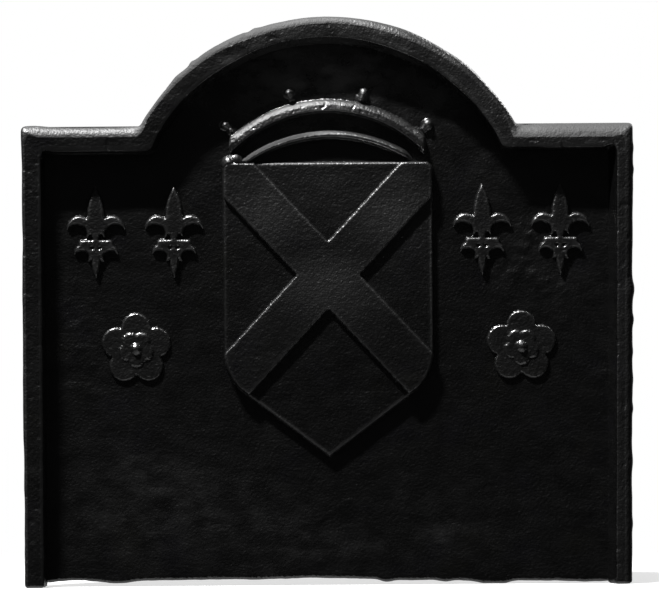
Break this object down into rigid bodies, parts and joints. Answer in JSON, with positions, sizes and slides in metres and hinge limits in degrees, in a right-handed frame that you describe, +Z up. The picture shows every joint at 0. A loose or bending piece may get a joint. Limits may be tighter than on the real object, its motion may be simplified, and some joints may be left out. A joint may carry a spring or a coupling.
{
  "type": "fireback",
  "caption": "Arched cast-iron fireback with square shoulders, a raised edge moulding, and a shield with a saltire under a coronet, with lily and rose stamps in low relief.",
  "frame": {"origin": "on the hearth, midway across the width and the depth: the bottom centre of the box round the fireback, level with its two feet", "axes": "+Z up, +X to the right as seen from the front; the ornamented front faces -Y and the flat back +Y"},
  "size_m": [0.614, 0.037, 0.569],
  "materials": {
    "cast_iron": "sand-cast iron, blackened with stove polish, fine grain, dull sheen",
    "worn_iron": "the same blackened iron, rubbed smoother and a little brighter on the raised relief"
  },
  "bodies": {
    "root": {"back_plate": "cast_iron", "stile_left": "cast_iron", "stile_right": "cast_iron", "shoulder_left": "cast_iron", "shoulder_right": "cast_iron", "arch_moulding": "cast_iron", "shield": "cast_iron", "saltire": "worn_iron", "coronet_band": "worn_iron", "coronet_bow": "worn_iron", "pearl_outer_left": "worn_iron", "pearl_inner_left": "worn_iron", "pearl_inner_right": "worn_iron", "pearl_outer_right": "worn_iron", "lily_outer_left": "worn_iron", "lily_inner_left": "worn_iron", "lily_inner_right": "worn_iron", "lily_outer_right": "worn_iron", "rose_left": "worn_iron", "rose_right": "worn_iron"}
  },
  "joints": []
}
